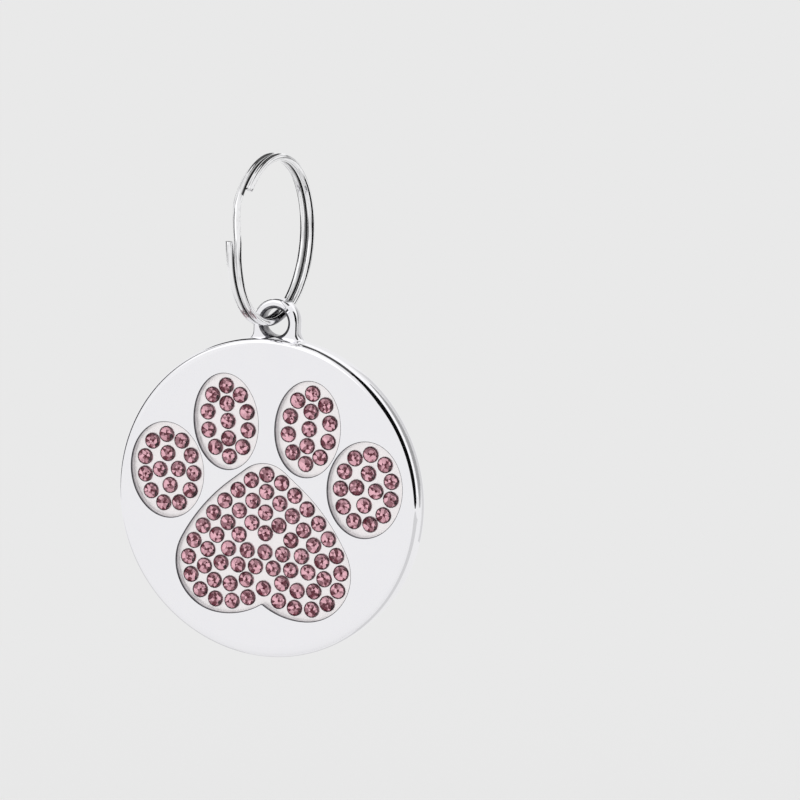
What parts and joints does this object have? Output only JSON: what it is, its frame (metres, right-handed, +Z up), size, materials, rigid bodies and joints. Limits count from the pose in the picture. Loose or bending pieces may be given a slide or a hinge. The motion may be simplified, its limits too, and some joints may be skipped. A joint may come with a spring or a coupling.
{
  "type": "pet id tag",
  "caption": "Round pet id tag with a paw print of set stones in recessed cells, hanging from a split ring through the eye on its rim.",
  "frame": {"origin": "the hanging point: inside the top of the split ring, between its two turns", "axes": "+Z up the tag, +X to the right of its front, -Y out of its front face, so that +Y goes through it to its back"},
  "size_m": [0.03, 0.016, 0.0472],
  "materials": {
    "cast_metal": "polished and plated zinc alloy",
    "ring_wire": "bright nickel-plated steel wire",
    "adhesive": "clear set adhesive",
    "stone": "faceted foil-backed pink glass"
  },
  "bodies": {
    "ring": {"split_ring": "ring_wire"},
    "tag": {"tag_disc": "cast_metal", "bed_toe_inner_left": "adhesive", "bed_toe_inner_right": "adhesive", "bed_toe_outer_left": "adhesive", "bed_toe_outer_right": "adhesive", "bed_pad": "adhesive", "stones_toe_inner_left_rim": "stone", "stones_toe_inner_left_core": "stone", "stones_toe_inner_right_rim": "stone", "stones_toe_inner_right_core": "stone", "stones_toe_outer_left_rim": "stone", "stones_toe_outer_left_core": "stone", "stones_toe_outer_right_rim": "stone", "stones_toe_outer_right_core": "stone", "stones_pad_first_left": "stone", "stones_pad_first_right": "stone", "stones_pad_second_left": "stone", "stones_pad_second_right": "stone", "stones_pad_third_left": "stone", "stones_pad_third_right": "stone", "stones_pad_middle": "stone"}
  },
  "joints": [
    {"name": "tag_swing", "type": "hinge", "parent": "ring", "child": "tag", "pos_m": [0, 0.00202, -0.01512], "axis": [0, 1, 0], "range_deg": [-115, 115]}
  ]
}
